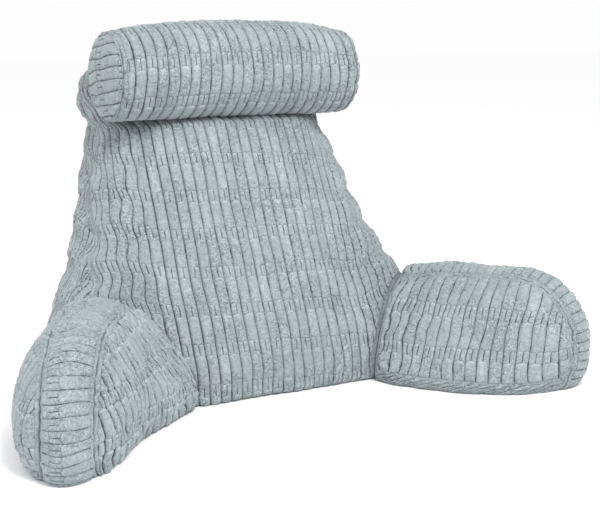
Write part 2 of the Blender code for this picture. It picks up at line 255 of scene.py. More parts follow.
def back_surface(levels, columns):
    """Points of the cover for every level and column, and for each level how far round from the
    front's middle every column lies, the gusset's two seams lie, and the rear's middle lies."""
    points = np.zeros((len(levels), len(columns), 3))
    around = np.zeros(points.shape[:2])
    seams = np.zeros((len(levels), 3))
    for r, level in enumerate(levels):
        ring = back_ring(level)
        ring["half_width"] += CUT_EASE * math.exp(-((level - CUT_EASE_LEVEL) / CUT_EASE_SPREAD) ** 2)
        outline, arcs = ring_outline(ring)
        loose = 1 - ease((level - SHOULDER + 0.03) / 0.1)
        at = wale_arc(columns + loose * wander(columns, level, WALE_WANDER, 3), arcs[-1])
        at = np.where(at < 0, at + arcs[-1], at)
        for i in range(3):
            points[r, :, i] = np.interp(at, arcs, outline[:, i])
        around[r] = wale_arc(np.where(columns > HALF_WALES, ALL_WALES - columns, columns), arcs[-1])
        corner = GUSSET_CORNER[0] * ring["half_width"] + GUSSET_CORNER[1]
        rear_seam = wale_arc(np.array([REAR_SEAM_WALE]), arcs[-1])[0]
        front_seam = corner + (rear_seam - corner) * min(level / GUSSET_TOP, 1.0) ** GUSSET_CURVE
        front_seam += wander(level, 0.0, GUSSET_WANDER, 23)
        seams[r] = front_seam, rear_seam, arcs[-1] / 2
        lift = min(level, BASE_RADIUS) / BASE_RADIUS
        inset = BASE_RADIUS * (1 - math.sqrt(1 - (1 - lift) ** 2))
        middle = (ring["front_y"] + ring["rear_y"]) / 2
        points[r, :, 0] *= 1 - inset / ring["half_width"]
        points[r, :, 1] += (middle - points[r, :, 1]) * inset / (middle - ring["front_y"])
    for side in (-1, 1):
        flatten_corner(points, side)
    return points, around, seams


def ring_faces(rows, columns):
    """Quads of a stack of closed rings."""
    start = np.arange(rows - 1)[:, None] * columns
    first = (start + np.arange(columns)).reshape(-1)
    after = (start + (np.arange(columns) + 1) % columns).reshape(-1)
    quads = np.stack([first, after, after + columns, first + columns], axis=1)
    return [tuple(quad) for quad in quads.tolist()]


def close_ring(points, faces, ring, inward):
    """Close a ring with a fan about its own middle."""
    middle = len(points)
    points = np.concatenate([points, points[ring].mean(axis=0)[None]])
    after = list(ring[1:]) + [ring[0]]
    faces += [(middle, b, a) if inward else (middle, a, b) for a, b in zip(ring, after)]
    return points


def close_back(points, faces, rows, columns):
    """Close the base with a fan and sew the top front edge to the top rear edge."""
    top = (rows - 1) * columns
    pair = (HALF_WALES + 1) * columns // ALL_WALES
    done = set()
    for i in range(columns):
        corners = (i, (i + 1) % columns, (pair - i - 1) % columns, (pair - i) % columns)
        if frozenset(corners) not in done and len(set(corners)) > 2:
            done.add(frozenset(corners))
            faces.append(tuple(dict.fromkeys(top + c for c in corners)))
    return close_ring(points, faces, list(range(columns)), True)


def closed_cover(grid, close, mirrored):
    """Points and faces of a cover with its ends closed; a mirrored one is wound the other way."""
    rows, columns = grid.shape[:2]
    faces = ring_faces(rows, columns)
    points = close(grid.reshape(-1, 3), faces, rows, columns)
    return points, [tuple(reversed(face)) for face in faces] if mirrored else faces


def add_object(name, data):
    """A new object in the scene."""
    made = bpy.data.objects.new(name, data)
    bpy.context.collection.objects.link(made)
    return made


def fill_cover(points, faces, held, limit):
    """Blow a cover up from inside as its filling does, and return how far each point moved."""
    mesh = bpy.data.meshes.new("cover")
    mesh.from_pydata(points.tolist(), [], faces)
    cover = add_object("cover", mesh)
    normals = np.array([vertex.normal[:] for vertex in mesh.vertices])
    slack = points - normals * np.where(held, 0.0, COVER_SLACK)[:, None]
    mesh.vertices.foreach_set("co", slack.reshape(-1))
    cover.vertex_groups.new(name="held").add([int(i) for i in np.nonzero(held)[0]], 1.0, "REPLACE")
    cloth = cover.modifiers.new("cloth", "CLOTH")
    cloth.settings.quality = 5
    cloth.settings.mass = 0.3
    cloth.settings.use_pressure = True
    cloth.settings.uniform_pressure_force = 4.0
    cloth.settings.effector_weights.gravity = 0.0
    cloth.settings.vertex_group_mass = "held"
    cloth.collision_settings.use_collision = False
    cloth.point_cache.frame_start = 1
    cloth.point_cache.frame_end = FILL_STEPS
    for step in range(1, FILL_STEPS + 1):
        bpy.context.scene.frame_set(step)
    filled = cover.evaluated_get(bpy.context.evaluated_depsgraph_get())
    moved = np.array([vertex.co[:] for vertex in filled.data.vertices]) - points
    bpy.context.scene.frame_set(1)
    bpy.data.objects.remove(cover)
    size = np.linalg.norm(moved, axis=1)
    return moved * np.minimum(1.0, limit / np.maximum(size, 1e-9))[:, None]


def spread(known, wanted, period=None):
    """Weights that carry values from a coarse row of places to a fine one, smoothly."""
    gap = np.abs(wanted[:, None] - known[None, :])
    if period:
        gap = np.minimum(gap, period - gap)
    reach = 0.75 * np.median(np.diff(known))
    weight = np.exp(-0.5 * (gap / reach) ** 2)
    return weight / weight.sum(axis=1, keepdims=True)


def bulge(grid, coarse, fine, period, close, held, limit, mirrored=False):
    """How far the filling pushes each point of a fine cover, found on a coarse grid of it."""
    points, faces = closed_cover(grid, close, mirrored)
    moved = fill_cover(points, faces, held(points), limit)[:grid[..., 0].size].reshape(grid.shape)
    along = np.einsum("rk,kcd->rcd", spread(coarse[0], fine[0]), moved)
    return np.einsum("cm,rmd->rcd", spread(coarse[1], fine[1], period), along)


# What each point of a cover says of its pile: the numbers of its wale and row, how far the relief
# is raised, how far off the nearest seam is, and how gathered and how beaded the cloth is.
COVER_VALUES = ("wale", "row", "relief", "seam", "gather", "bead")
# Scale and detail of each noise in the pile.  Two more numbers say what it is scaled by and
# starts from, or, for a patch, between which values the patch begins.  Two of the patches set how wide and
# how strong the painted shade in the partings between the blocks is.
PILE_NOISES = {
    "lumps": (11.0, 1.0), "puckers": (48.0, 1.0), "bead drift": (13.0, 1.0), "tips": (430.0, 2.0),
    "crinkle": (95.0, 1.0), "seam": (55.0, 1.0, 0.006, -0.003), "patches": (16.0, 3.0, 0.36, -0.18),
    "flecks": (130.0, 3.0, 0.50, -0.25), "roughness": (90.0, 2.0, 0.12, 0.86),
    "wide gaps": (62.0, 1.0, 0.50, 0.62), "shaded_partings": (42.0, 2.0, 0.34, 0.62),
    "crushed": (20.0, 1.0, 0.42, 0.60), "pits": (250.0, 2.0, 0.34, 0.47), "cool": (5.0, 2.0, 0.45, 0.75),
}
# The edges of the blocks as raised in the mesh, as painted shade in the plush's colour and as bumped on it.
RAISED_EDGES = {"groove": 0.0050, "block_end": 0.0055, "split": 0.0034, "end_floor": 0.50,
                "split_floor": 0.45, "short_height": 0.88}
SHADED_EDGES = {"block_end": 0.0012, "split": 0.0013, "split_floor": 0.05, "short_height": 1.0}
BUMPED_EDGES = {"groove": 0.0040, "block_end": 0.0036, "split": 0.0028, "split_floor": 0.15,
                "short_height": 0.92}
BLOCK_ROUND = 0.085
FINGER_ROUND = 0.050
FINGER_END = 0.7
TUFT_MIDDLE = 0.13
BEADS_PER_ROW = 5.0
BEAD_OFFSET = 0.37
BEAD_DRIFT = 2.5
# The plush's colours: painted shade for the grooves, the pile's own colour, and its lighter tips, reached by
# the random lie of the pile and by the painted highlight on the block ends.
PAINTED_GROOVE_SHADE = (0.050, 0.064, 0.068, 1.0)
PILE_COLOUR = (0.275, 0.312, 0.318, 1.0)
TIP_COLOUR = (0.400, 0.440, 0.445, 1.0)
TIP_LIGHT = 1.25
RAMP_END = 1.4


class Sum:
    """A number that a node tree works out; arithmetic with it makes the tree's nodes."""

    def __init__(self, tree, socket):
        self.tree = tree
        self.socket = socket

    def node(self, operation, *others, clamp=False):
        """One arithmetic node; numbers are set on its sockets, sums are linked."""
        node = self.tree.nodes.new("ShaderNodeMath")
        node.operation = operation
        node.use_clamp = clamp
        for socket, value in zip(node.inputs, (self, *others)):
            if isinstance(value, Sum):
                self.tree.links.new(value.socket, socket)
            else:
                socket.default_value = value
        return Sum(self.tree, node.outputs[0])

    def __add__(self, other):
        return self.node("ADD", other)

    def __sub__(self, other):
        return self.node("SUBTRACT", other)

    def __rsub__(self, other):
        return self.scaled(-1.0, other)

    def __mul__(self, other):
        return self.node("MULTIPLY", other)

    def __truediv__(self, other):
        return self.node("DIVIDE", other)

    def scaled(self, by, start, clamp=False):
        return self.node("MULTIPLY_ADD", by, start, clamp=clamp)

    def straight_up(self, radius):
        """0 at an edge, rising straight to 1 at the radius."""
        return self.node("DIVIDE", radius, clamp=True)

    def round_over(self, radius):
        """0 at an edge, rising in a quarter round to 1 at the radius."""
        gap = 1.0 - self.straight_up(radius)
        return (1.0 - gap * gap).node("SQRT")

    def bell(self, middle, width):
        """1 at the middle distance, falling smoothly to 0 on both sides of it."""
        off = (self - middle) / width
        return (off * off * -1.0).node("EXPONENT")

    def step(self, low, high):
        """Smooth step from 0 at low to 1 at high."""
        node = self.tree.nodes.new("ShaderNodeMapRange")
        node.interpolation_type = "SMOOTHSTEP"
        self.tree.links.new(self.socket, node.inputs["Value"])
        node.inputs["From Min"].default_value = low
        node.inputs["From Max"].default_value = high
        return Sum(self.tree, node.outputs["Result"])


class Pile:
    """The noises, beads and blocks of the pile, worked out in one tree."""

    def __init__(self, tree, place, kind, output):
        self.tree = tree
        self.place = place
        read = []
        for name in COVER_VALUES:
            node = tree.nodes.new(kind)
            if kind == "ShaderNodeAttribute":
                node.attribute_name = name
            else:
                node.data_type = "FLOAT"
                node.inputs["Name"].default_value = name
            read.append(Sum(tree, node.outputs[output]))
        self.wale, self.row, self.relief, self.seam, self.gather, self.bead = read

    def noise(self, name, seed=None):
        """One of the pile's noises; a seed shifts it in its fourth dimension."""
        node = self.tree.nodes.new("ShaderNodeTexNoise")
        node.noise_dimensions = "4D"
        for socket, value in zip(("Scale", "Detail"), PILE_NOISES[name]):
            node.inputs[socket].default_value = value
        self.tree.links.new(self.place, node.inputs["Vector"])
        if seed is not None:
            self.tree.links.new(seed.socket, node.inputs["W"])
        return Sum(self.tree, node.outputs[0])

    def scaled_noise(self, name):
        return self.noise(name).scaled(*PILE_NOISES[name][2:])

    def patch(self, name):
        """0 outside the patches of one of the pile's noises, 1 inside them."""
        return self.noise(name).step(*PILE_NOISES[name][2:])

    def tuft(self):
        """A random number for each pile block."""
        place = self.tree.nodes.new("ShaderNodeCombineXYZ")
        self.tree.links.new(self.wale.node("ROUND").socket, place.inputs["X"])
        self.tree.links.new((self.row - TUFT_MIDDLE).node("FLOOR").socket, place.inputs["Y"])
        noise = self.tree.nodes.new("ShaderNodeTexWhiteNoise")
        self.tree.links.new(place.outputs["Vector"], noise.inputs["Vector"])
        return Sum(self.tree, noise.outputs["Value"])

    def beads(self):
        """Waves along each wale, -1 to 1, where gathered cloth bunches into beads."""
        drift = self.wale.node("ROUND").scaled(BEAD_OFFSET, self.noise("bead drift") * BEAD_DRIFT)
        return (self.row.scaled(BEADS_PER_ROW, drift) * (2 * math.pi)).node("COSINE")

    def blocks(self, rise, groove, block_end, split, end_floor, split_floor, short_height):
        """Height of the cut pile, 0 to 1, and the distance down from each block's upper end.  A
        wale has a long block, then a short row of two fingers; both have rounded upper ends."""
        across = (self.wale - self.wale.node("ROUND")).node("ABSOLUTE") * 2.0
        off_finger = across.scaled(2.0, -1.0).node("ABSOLUTE")
        block_top = across.node("POWER", 3.0) * BLOCK_ROUND
        finger_top = off_finger.node("POWER", 3.0) * FINGER_ROUND
        part = self.row.node("FRACT")
        above = part + finger_top - SHORT_ROW
        below = 1.0 - part - block_top
        inside = above.node("MINIMUM", below) * ROW_PITCH
        side = rise((1.0 - across) * (WALE_PITCH / 2), groove)
        end_drop = 1.0 - end_floor
        long_block = side * rise(inside, block_end).scaled(end_drop, end_floor)
        halves = rise(across * (WALE_PITCH / 2), split).scaled(1 - split_floor, split_floor)
        finger_end = rise(inside * -1.0, block_end * FINGER_END).scaled(end_drop, end_floor)
        fingers = side * halves * finger_end * short_height
        is_long = inside.node("GREATER_THAN", 0.0)
        over_finger = above * -1.0
        tip = (below - over_finger).scaled(is_long, over_finger)
        return (long_block - fingers).scaled(is_long, fingers), tip * ROW_PITCH


def plush_relief():
    """The tree that raises the ribs, blocks, seams and lumps of a stuffed plush cushion."""
    tree = bpy.data.node_groups.new("plush_relief", "GeometryNodeTree")
    new, link = tree.nodes.new, tree.links.new
    face = tree.interface
    face.new_socket("Cushion", in_out="OUTPUT", socket_type="NodeSocketGeometry")
    face.new_socket("Cover", in_out="INPUT", socket_type="NodeSocketGeometry")
    for label, value in (("Pile Height", 0.0054), ("Filling Lumps", 0.010), ("Seam Depth", 0.0030),
                         ("Pucker Height", 0.010), ("Bead Height", 0.0008), ("Seed", 1.0)):
        face.new_socket(label, in_out="INPUT", socket_type="NodeSocketFloat").default_value = value
    face.new_socket("Plush", in_out="INPUT", socket_type="NodeSocketMaterial")
    given = new("NodeGroupInput").outputs
    size = {socket.name: Sum(tree, socket) for socket in given}
    place = new("GeometryNodeInputPosition").outputs[0]
    pile = Pile(tree, place, "GeometryNodeInputNamedAttribute", "Attribute")
    relief = pile.relief * pile.seam.step(0.005, 0.011)

    # The pile blocks, taller where the cloth is gathered.
    blocks, _ = pile.blocks(Sum.round_over, **RAISED_EDGES)
    raised = blocks * pile.tuft().scaled(0.24, 0.88) - 0.62
    raised = raised * (relief * pile.gather.scaled(0.6, 1.0)) * size["Pile Height"]

    # Lumps of filling, and puckers near the seams and where the cloth is gathered.
    lumps = (pile.noise("lumps", size["Seed"]) - 0.5) * size["Filling Lumps"] * pile.relief
    drawn = (pile.seam * -55.0).node("EXPONENT").node("ADD", pile.gather, clamp=True)
    pucker = (pile.noise("puckers", size["Seed"]) - 0.5) * drawn
    pucker = pucker * size["Pucker Height"] * pile.relief

    # A crease along each seam with a welt beside it, and the beads of gathered wales.
    crease = pile.seam.bell(0.0, 0.0024) * -0.7
    welt = pile.seam.bell(0.0045, 0.0022).scaled(0.45, crease)
    sewn = welt * size["Seam Depth"] * pile.relief
    beads = pile.beads() * size["Bead Height"] * (pile.bead * relief)
    total = (raised + lumps) + (pucker + sewn) - beads

    along = new("ShaderNodeVectorMath")
    along.operation = "SCALE"
    link(new("GeometryNodeInputNormal").outputs[0], along.inputs[0])
    link(total.socket, along.inputs["Scale"])
    moved = new("GeometryNodeSetPosition")
    link(given["Cover"], moved.inputs["Geometry"])
    link(along.outputs[0], moved.inputs["Offset"])
    real = new("GeometryNodeRealizeInstances")
    link(moved.outputs[0], real.inputs[0])
    clad = new("GeometryNodeSetMaterial")
    link(real.outputs[0], clad.inputs["Geometry"])
    link(given["Plush"], clad.inputs["Material"])
    link(clad.outputs[0], new("NodeGroupOutput").inputs[0])
    return tree


def bump(height, strength, distance):
    """A bump node over one height."""
    node = height.tree.nodes.new("ShaderNodeBump")
    node.inputs["Strength"].default_value = strength
    node.inputs["Distance"].default_value = distance
    height.tree.links.new(height.socket, node.inputs["Height"])
    return node


def plush_material():
    """Pale grey-blue cut plush: matt, with a soft sheen, mottled by its lie, with painted shade in its
    grooves, seam creases, pits and pinches and a painted highlight on each block's upper end.
    """
    plush = bpy.data.materials.new("ribbed_plush")
    plush.use_nodes = True
    tree = plush.node_tree
    new, link = tree.nodes.new, tree.links.new
    shader = tree.nodes["Principled BSDF"]
    pile = Pile(tree, new("ShaderNodeTexCoord").outputs["Object"], "ShaderNodeAttribute", "Fac")

    # Painted shade darkens the partings between the blocks, their ends and the splits of the short rows; the
    # partings are wide in patches, where gathered and where pinched.
    pinch = pile.beads().step(0.0, 1.0) * (pile.bead * pile.relief)
    gap = pile.patch("wide gaps").scaled(0.0010, 0.0007)
    gap = pinch.scaled(0.0018, pile.gather.scaled(0.0012, gap))
    blocks, tip = pile.blocks(Sum.straight_up, gap, end_floor=pile.gather.scaled(0.20, 0.76), **SHADED_EDGES)
    off_seam = pile.seam.step(0.005, 0.009)
    shaded_partings = pile.patch("shaded_partings").scaled(0.62, 0.42) + pile.gather * 0.6
    painted_light_strength = off_seam * pile.relief * shaded_partings
    groove_shade = (blocks - 1.0).scaled(painted_light_strength, 1.0, clamp=True)

    # Painted shade in the seam's crease at the stitch line and at the foot of the welt, both a little
    # ragged.
    ragged = pile.seam + pile.scaled_noise("seam")
    seam_crease_shade = ragged.bell(0.0, 0.0011) * 0.60
    welt_foot_shade = ragged.bell(0.0072, 0.0010) * 0.18
    # The painted shade in the partings and along the seams, together.
    depth = groove_shade.node("MULTIPLY", 1.0 - (seam_crease_shade + welt_foot_shade), clamp=True)

    # How the pile lies: broad patches, flecks, tips and tufts of its own tone; and a painted highlight, a
    # light rim on each block's upper end.
    flecks = pile.scaled_noise("flecks")
    crushed = pile.patch("crushed")
    tips = (pile.noise("tips") - 0.5) * crushed.scaled(0.45, 0.8)
    tufts = pile.tuft().scaled(0.10, -0.05)
    lie = (pile.scaled_noise("patches") + flecks) + (tips + tufts)
    rim_highlight = tip.bell(0.0022, 0.0013) * painted_light_strength
    lie = rim_highlight.scaled(0.16, lie)

    # Painted shade in the pits between the tips, in crinkles where the pile is crushed, and in the pinches
    # between beads.
    pits = pile.patch("pits")
    crinkle = pile.noise("crinkle").bell(0.5, 0.022) * crushed
    pit_crinkle_pinch_shade = (pits - 1.0).scaled(crushed.scaled(0.30, 0.07), 1.0)
    pit_crinkle_pinch_shade = pit_crinkle_pinch_shade * crinkle.scaled(-0.22, 1.0) * pinch.scaled(-0.07, 1.0)
    bright = depth * ((lie + 1.0) * pit_crinkle_pinch_shade)

    # The colour runs from the painted groove shade through the pile's own colour to its lighter tips.
    ramp = new("ShaderNodeValToRGB")
    shades = ramp.color_ramp.elements
    shades[0].position, shades[0].color = 0.10, PAINTED_GROOVE_SHADE
    shades[1].position, shades[1].color = TIP_LIGHT / RAMP_END, TIP_COLOUR
    shades.new(1.0 / RAMP_END).color = PILE_COLOUR
    link((bright / RAMP_END).socket, ramp.inputs["Fac"])
    cool = new("ShaderNodeMix")
    cool.data_type = "RGBA"
    cool.blend_type = "MULTIPLY"
    cool.inputs["B"].default_value = (0.93, 0.97, 1.04, 1.0)
    link(ramp.outputs["Color"], cool.inputs["A"])
    link((pile.patch("cool") * 0.35).socket, cool.inputs["Factor"])
    link(cool.outputs["Result"], shader.inputs["Base Color"])
    link(pile.scaled_noise("roughness").socket, shader.inputs["Roughness"])
    shader.inputs["Specular IOR Level"].default_value = 0.18
    shader.inputs["Sheen Weight"].default_value = 0.30
    shader.inputs["Sheen Roughness"].default_value = 0.45
    shader.inputs["Sheen Tint"].default_value = (0.86, 0.93, 0.95, 1.0)

    fibre = bump((flecks + pits) + tips * 0.4 - crinkle, strength=0.55, distance=0.0016)
    rounded, _ = pile.blocks(Sum.round_over, end_floor=pile.gather.scaled(0.65, 0.25), **BUMPED_EDGES)
    rounded = pinch.scaled(-0.25, rounded) * off_seam * pile.relief
    grooves = bump(rounded, strength=0.65, distance=0.0030)
    link(fibre.outputs["Normal"], grooves.inputs["Normal"])
    link(grooves.outputs["Normal"], shader.inputs["Normal"])
    return plush


PLUSH_RELIEF = plush_relief()
PLUSH = plush_material()


def make_cushion(node, grid, values, close, lumps, seed, mirrored=False):
    """Close a cover, raise the pile on it with what it says at each point, make the result a
    plain mesh and let it stand for its CAD node."""
    points, faces = closed_cover(grid - PILLOW_MIDDLE, close, mirrored)
    mesh = bpy.data.meshes.new("cover")
    mesh.from_pydata(points.tolist(), [], faces)
    mesh.validate()
    mesh.shade_smooth()
    for name, value in zip(COVER_VALUES, values):
        said = np.broadcast_to(value, grid.shape[:2]).reshape(-1)
        said = np.concatenate([said, np.full(len(points) - said.size, said[-1])])
        mesh.attributes.new(name, "FLOAT", "POINT").data.foreach_set("value", said)
    cover = add_object("cover", mesh)
    pile = cover.modifiers.new("pile", "NODES")
    pile.node_group = PLUSH_RELIEF
    sockets = {s.name: s.identifier for s in PLUSH_RELIEF.interface.items_tree if s.in_out == "INPUT"}
    pile[sockets["Filling Lumps"]] = lumps
    pile[sockets["Seed"]] = float(seed)
    pile[sockets["Plush"]] = PLUSH
    ready = bpy.context.evaluated_depsgraph_get()
    mesh = bpy.data.meshes.new_from_object(cover.evaluated_get(ready), preserve_all_data_layers=True,
                                           depsgraph=ready)
    bpy.data.objects.remove(cover)
    places = np.zeros(len(mesh.vertices) * 3)
    mesh.vertices.foreach_get("co", places)
    places[2::3] = np.maximum(places[2::3], 0.0)
    mesh.vertices.foreach_set("co", places)
    mesh.name = node + "_plush"
    cushion = add_object(node + "_plush", mesh)
    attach(cushion, "root")
    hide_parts(node)


def back_wales(samples):
    """Wale numbers of the columns round the back, the same number of samples on each."""
    return (np.arange(ALL_WALES)[:, None] + np.array(samples)).reshape(-1)


def back_held(points):
    """The base and the two faces that the arms are sewn to stay where they are."""
    held = points[:, 2] < HELD_EDGE
    for side in (-1, 1):
        held |= (past_sewn_face(points, side)[0] > -HELD_EDGE) & (points[:, 2] < ARM_HEIGHT)
    return held


top = SHOULDER + TOP_PATH
coarse = (np.concatenate([[0.0, BASE_RADIUS / 2], np.arange(BASE_RADIUS, top, COARSE_STEP), [top]]),
          back_wales((-0.5,)))
levels = np.concatenate([BASE_RADIUS * np.array(BACK_BASE_STEPS),
                         np.arange(BASE_RADIUS, top - 0.002, BACK_ROW_STEP), [top]])
columns = back_wales(WALE_SAMPLES)
skin, around, seams = back_surface(levels, columns)
skin += bulge(back_surface(*coarse)[0], coarse, (levels, columns), ALL_WALES,
              close_back, back_held, BACK_BULGE)
skin[..., 2] = np.maximum(skin[..., 2], 0.0)
depth, rise = skin[..., 1].copy(), skin[..., 2].copy()
path = run_lengths(skin)
front_seam, rear_seam, half_way = seams.T[:, :, None]
plain = np.minimum(FRONT_HALF, FRONT_SHARE * half_way)
which_side = np.where(columns > HALF_WALES, -1.0, 1.0)
column = np.abs(np.where(columns > HALF_WALES, columns - ALL_WALES, columns))

# Wales run up the front and the rear, and up each gusset closer together.
past_plain = around - plain
sway = wander(around, path, SIDE_SWAY, 13) * ease(past_plain / 0.06)
front_wale = np.where(column <= FRONT_WALES, column, FRONT_WALES + past_plain / WALE_PITCH + sway)
rear_wale = np.where(column >= HALF_WALES - FRONT_WALES, HALF_WALES - column,
                     FRONT_WALES + (half_way - plain - around) / WALE_PITCH)
gusset_wale = depth / GUSSET_PITCH + wander(depth, rise, GUSSET_SWAY, 17)
in_front = around < front_seam
in_gusset = (around >= front_seam) & (around < rear_seam)
wale = np.where(in_front, which_side * front_wale, REAR_WALES + which_side * rear_wale)
wale = np.where(in_gusset, GUSSET_WALES + gusset_wale, wale)

# Rows of pile run across the front with a slight tilt, and shift a little from wale to wale.
row = (path - FIRST_ROW) / ROW_PITCH + wander(columns, path, ROW_WANDER, 5)
row += ROW_TILT * np.clip(which_side * column, -TILTED_WALES, TILTED_WALES) - ROW_LIFT
gusset_row = rise / ROW_PITCH + wander(around, rise, GUSSET_ROW_WANDER, 19)
row = np.where(in_gusset, gusset_row, row)
row += wale_shifts(wale, *WALE_SHIFT, 11)

# The cloth is gathered and beaded toward the gussets, and gathered where the arms are sewn on.
seam = np.minimum(np.abs(around - front_seam), np.abs(around - rear_seam))
edge = ease((around - EDGE_START) / EDGE_WIDTH) * in_front
gather = np.where(in_gusset, GUSSET_GATHER, np.where(which_side < 0, *EDGE_GATHER) * edge)
bead = np.where(in_gusset, GUSSET_BEADS, np.where(which_side < 0, *EDGE_BEADS) * edge)
relief = ease((path - 0.004) / 0.008)
for side in (-1, 1):
    past = flatten_corner(skin, side)
    relief = relief * ease((-past - 0.001) / 0.006)
    seam = np.minimum(seam, np.maximum(-past, 0.0))
    gather = np.maximum(gather, SEWN_GATHER * np.exp(-np.maximum(-past, 0.0) / 0.03))

# The sides are scalloped, drawn in once for each row.
scallop = SCALLOP * np.cos(2 * math.pi * ((path - FIRST_ROW) / ROW_PITCH - SCALLOP_START))
scallop = scallop * ease((rise - 0.1) / 0.1)
scallop *= ease((around - 0.18) / 0.06) * ease((rear_seam + 0.03 - around) / 0.03)
skin[..., 0] += which_side * scallop
make_cushion("back_cushion", skin, (wale, row, relief, seam, gather, bead), close_back, 0.014, 1)

# ---------------------------------------------------------------- arms
# Each arm is a stuffed bag of three plush panels: a strip that runs over the top and down
# round the nose, sewn along two welted seams to an inner and an outer panel.  Its open root
# is sewn to the front corner of the back.  The filling has settled differently in each arm.

ARM_LENGTHS = {"arm_left": 0.368, "arm_right": 0.348}
ARM_TOE_CROWNS = {"arm_left": 0.028, "arm_right": 0.014}
ARM_TOE_SLANTS = {"arm_left": 0.30, "arm_right": 0.0}
ARM_NOSE_START = 0.230
ARM_NOSE_DROP = 0.118
ARM_EVEN_PART = 0.8
ARM_FOOT_TUCK = 0.026
ARM_FOOT_SETBACK = 0.045
ARM_FOOT_FULLNESS = 0.05
ARM_FULLNESS_CURVE = 0.35
ARM_CROWN = 0.010
ARM_CROWN_RISE = 1.4
ARM_BULGE_DROP = 1.3
ARM_ROOT_ROUND = 0.009
ARM_ROOT_INSET = 0.06
ARM_NAMES = ("reach", "top_in", "top_out", "floor_in", "floor_out", "bulge_in", "bulge_out", "height")
ARM_SHAPES = {
    "arm_left": (
        (0.000, 0.000, 0.098, -0.095, 0.122, 0.042, 0.032, 0.180),
        (0.080, 0.000, 0.096, -0.068, 0.110, 0.040, 0.038, 0.190),
        (0.160, 0.000, 0.090, -0.042, 0.102, 0.036, 0.050, 0.193),
        (0.240, 0.000, 0.082, -0.020, 0.094, 0.032, 0.058, 0.194),
        (0.300, 0.000, 0.076, -0.012, 0.086, 0.030, 0.056, 0.194),
        (0.370, 0.000, 0.072, -0.006, 0.074, 0.026, 0.044, 0.194),
    ),
    "arm_right": (
        (0.000, 0.000, 0.100, -0.102, 0.125, 0.042, 0.036, 0.176),
        (0.080, 0.000, 0.098, -0.108, 0.112, 0.040, 0.046, 0.186),
        (0.160, 0.000, 0.091, -0.104, 0.100, 0.038, 0.052, 0.189),
        (0.240, 0.000, 0.082, -0.088, 0.092, 0.036, 0.054, 0.192),
        (0.300, 0.000, 0.076, -0.062, 0.084, 0.030, 0.048, 0.194),
        (0.370, 0.000, 0.072, -0.014, 0.076, 0.014, 0.030, 0.194),
    ),
}
# Columns over the strip, the outer panel, the foot and the inner panel.
ARM_COLUMNS = (40, 84, 8, 84)
COARSE_ARM_COLUMNS = (7, 15, 5, 15)
ARM_STEP = 0.0024
ARM_ROOT_STEPS = (0.0, 0.04, 0.15, 0.35, 0.6, 0.8)
ARM_BULGE = 0.008
# How much the root sags and is pinched in, and how far along the arm.
ROOT_SAG = (0.006, 0.08)
ROOT_PINCH = (0.05, 0.018)
# How far its upper inner corner is drawn aside and down, and over what length and girth.
ROOT_CORNER = (0.016, 0.008)
ROOT_CORNER_SIZE = (0.03, 0.05)
UNDER_SEAM = 0.022
UNDER_SHEAR = 3.0
STRIP_FIRST_ROW = 0.0585
STRIP_PITCH = 0.0166
PANEL_FIRST_ROW = {"arm_left": 0.038, "arm_right": 0.0607}
PANEL_ROW_STRETCH = 1.04
INNER_GATHER = {"arm_left": 0.8, "arm_right": 0.1}
INNER_LEAN = {"arm_left": 1.6, "arm_right": 0.0}
SEAM_WANDER = (0.0045, 0.022, 1.0)
STRIP_WANDER = (0.06, 0.1, 0.09)
STRIP_ROOT_WANDER = (0.5, 0.035, 0.08)
PANEL_WANDER = (0.07, 0.12, 0.10)
PANEL_ROOT_WANDER = (0.4, 0.08, 0.04)
INNER_WANDER = (0.12, 0.09, 0.09)
ARM_WALE_SHIFT = (0.025, 64)


def arm_path(length):
    """The top seam over an arm: along the top, round the nose and down to its foot."""
    turn = np.linspace(0.0, math.pi / 2, 60)
    flat = np.stack([np.linspace(0.0, ARM_NOSE_START, 40), np.full(40, ARM_HEIGHT)], axis=1)
    nose = np.stack([ARM_NOSE_START + (length - ARM_NOSE_START) * np.sin(turn),
                     ARM_HEIGHT - ARM_NOSE_DROP * (1 - np.cos(turn))], axis=1)
    foot = np.stack([length - ARM_FOOT_TUCK * (1 - np.cos(turn)),
                     (ARM_HEIGHT - ARM_NOSE_DROP) * (1 - np.sin(turn))], axis=1)
    path = np.concatenate([flat, nose[1:], foot[1:]])
    return path, run_lengths(path)


def keep_off_back(points, side):
    """Press points of an arm off the face of the back that it is sewn to."""
    past, normal = past_sewn_face(points, side)
    points[..., :2] += np.maximum(SEWN_GAP - past, 0.0)[..., None] * normal


